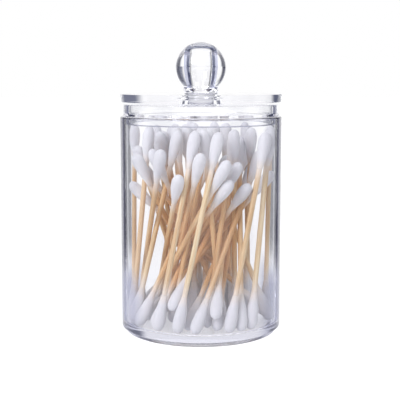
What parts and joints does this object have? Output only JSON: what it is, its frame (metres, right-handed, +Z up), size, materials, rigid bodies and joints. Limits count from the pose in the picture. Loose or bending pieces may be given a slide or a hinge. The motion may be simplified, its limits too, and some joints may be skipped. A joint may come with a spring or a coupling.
{
  "type": "swab jar",
  "caption": "Clear round jar with a lift-off lid and ball knob, holding bamboo cotton swabs that stand and lean inside it.",
  "frame": {"origin": "centre of the foot ring, on the surface that the jar stands on", "axes": "+Z up along the jar's axis, -Y towards the front"},
  "size_m": [0.0704, 0.0704, 0.1256],
  "materials": {
    "clear_plastic": "gloss",
    "cotton": "matte",
    "bamboo": "matte"
  },
  "bodies": {
    "jar": {"jar": "clear_plastic", "swab_01": "cotton", "swab_02": "cotton", "swab_03": "cotton", "swab_04": "cotton", "swab_05": "cotton", "swab_06": "cotton", "swab_07": "cotton", "swab_08": "cotton", "swab_09": "cotton", "swab_10": "cotton", "swab_11": "cotton", "swab_12": "cotton", "swab_13": "cotton", "swab_14": "cotton", "swab_15": "cotton", "swab_16": "cotton", "swab_17": "cotton", "swab_18": "cotton", "swab_19": "cotton", "swab_20": "cotton", "swab_21": "cotton", "swab_22": "cotton", "swab_23": "cotton", "swab_24": "cotton", "swab_25": "cotton", "swab_26": "cotton", "swab_27": "cotton", "swab_28": "cotton", "swab_29": "cotton", "swab_30": "cotton", "swab_31": "cotton", "swab_32": "cotton", "swab_33": "cotton", "swab_34": "cotton", "swab_35": "cotton", "swab_36": "cotton", "swab_37": "cotton", "swab_38": "cotton", "swab_39": "cotton", "swab_40": "cotton", "swab_41": "cotton", "swab_42": "cotton", "swab_43": "cotton", "swab_44": "cotton", "swab_45": "cotton", "swab_46": "cotton", "swab_47": "cotton", "swab_48": "cotton", "swab_49": "cotton", "swab_50": "cotton", "swab_51": "cotton", "swab_52": "cotton", "swab_53": "cotton", "swab_54": "cotton", "swab_55": "cotton", "swab_56": "cotton", "swab_57": "cotton", "swab_58": "cotton"},
    "lid": {"lid": "clear_plastic"}
  },
  "joints": [
    {"name": "lid_lift", "type": "slide", "parent": "jar", "child": "lid", "axis": [0, 0, 1], "range_m": [0, 0.05]}
  ]
}
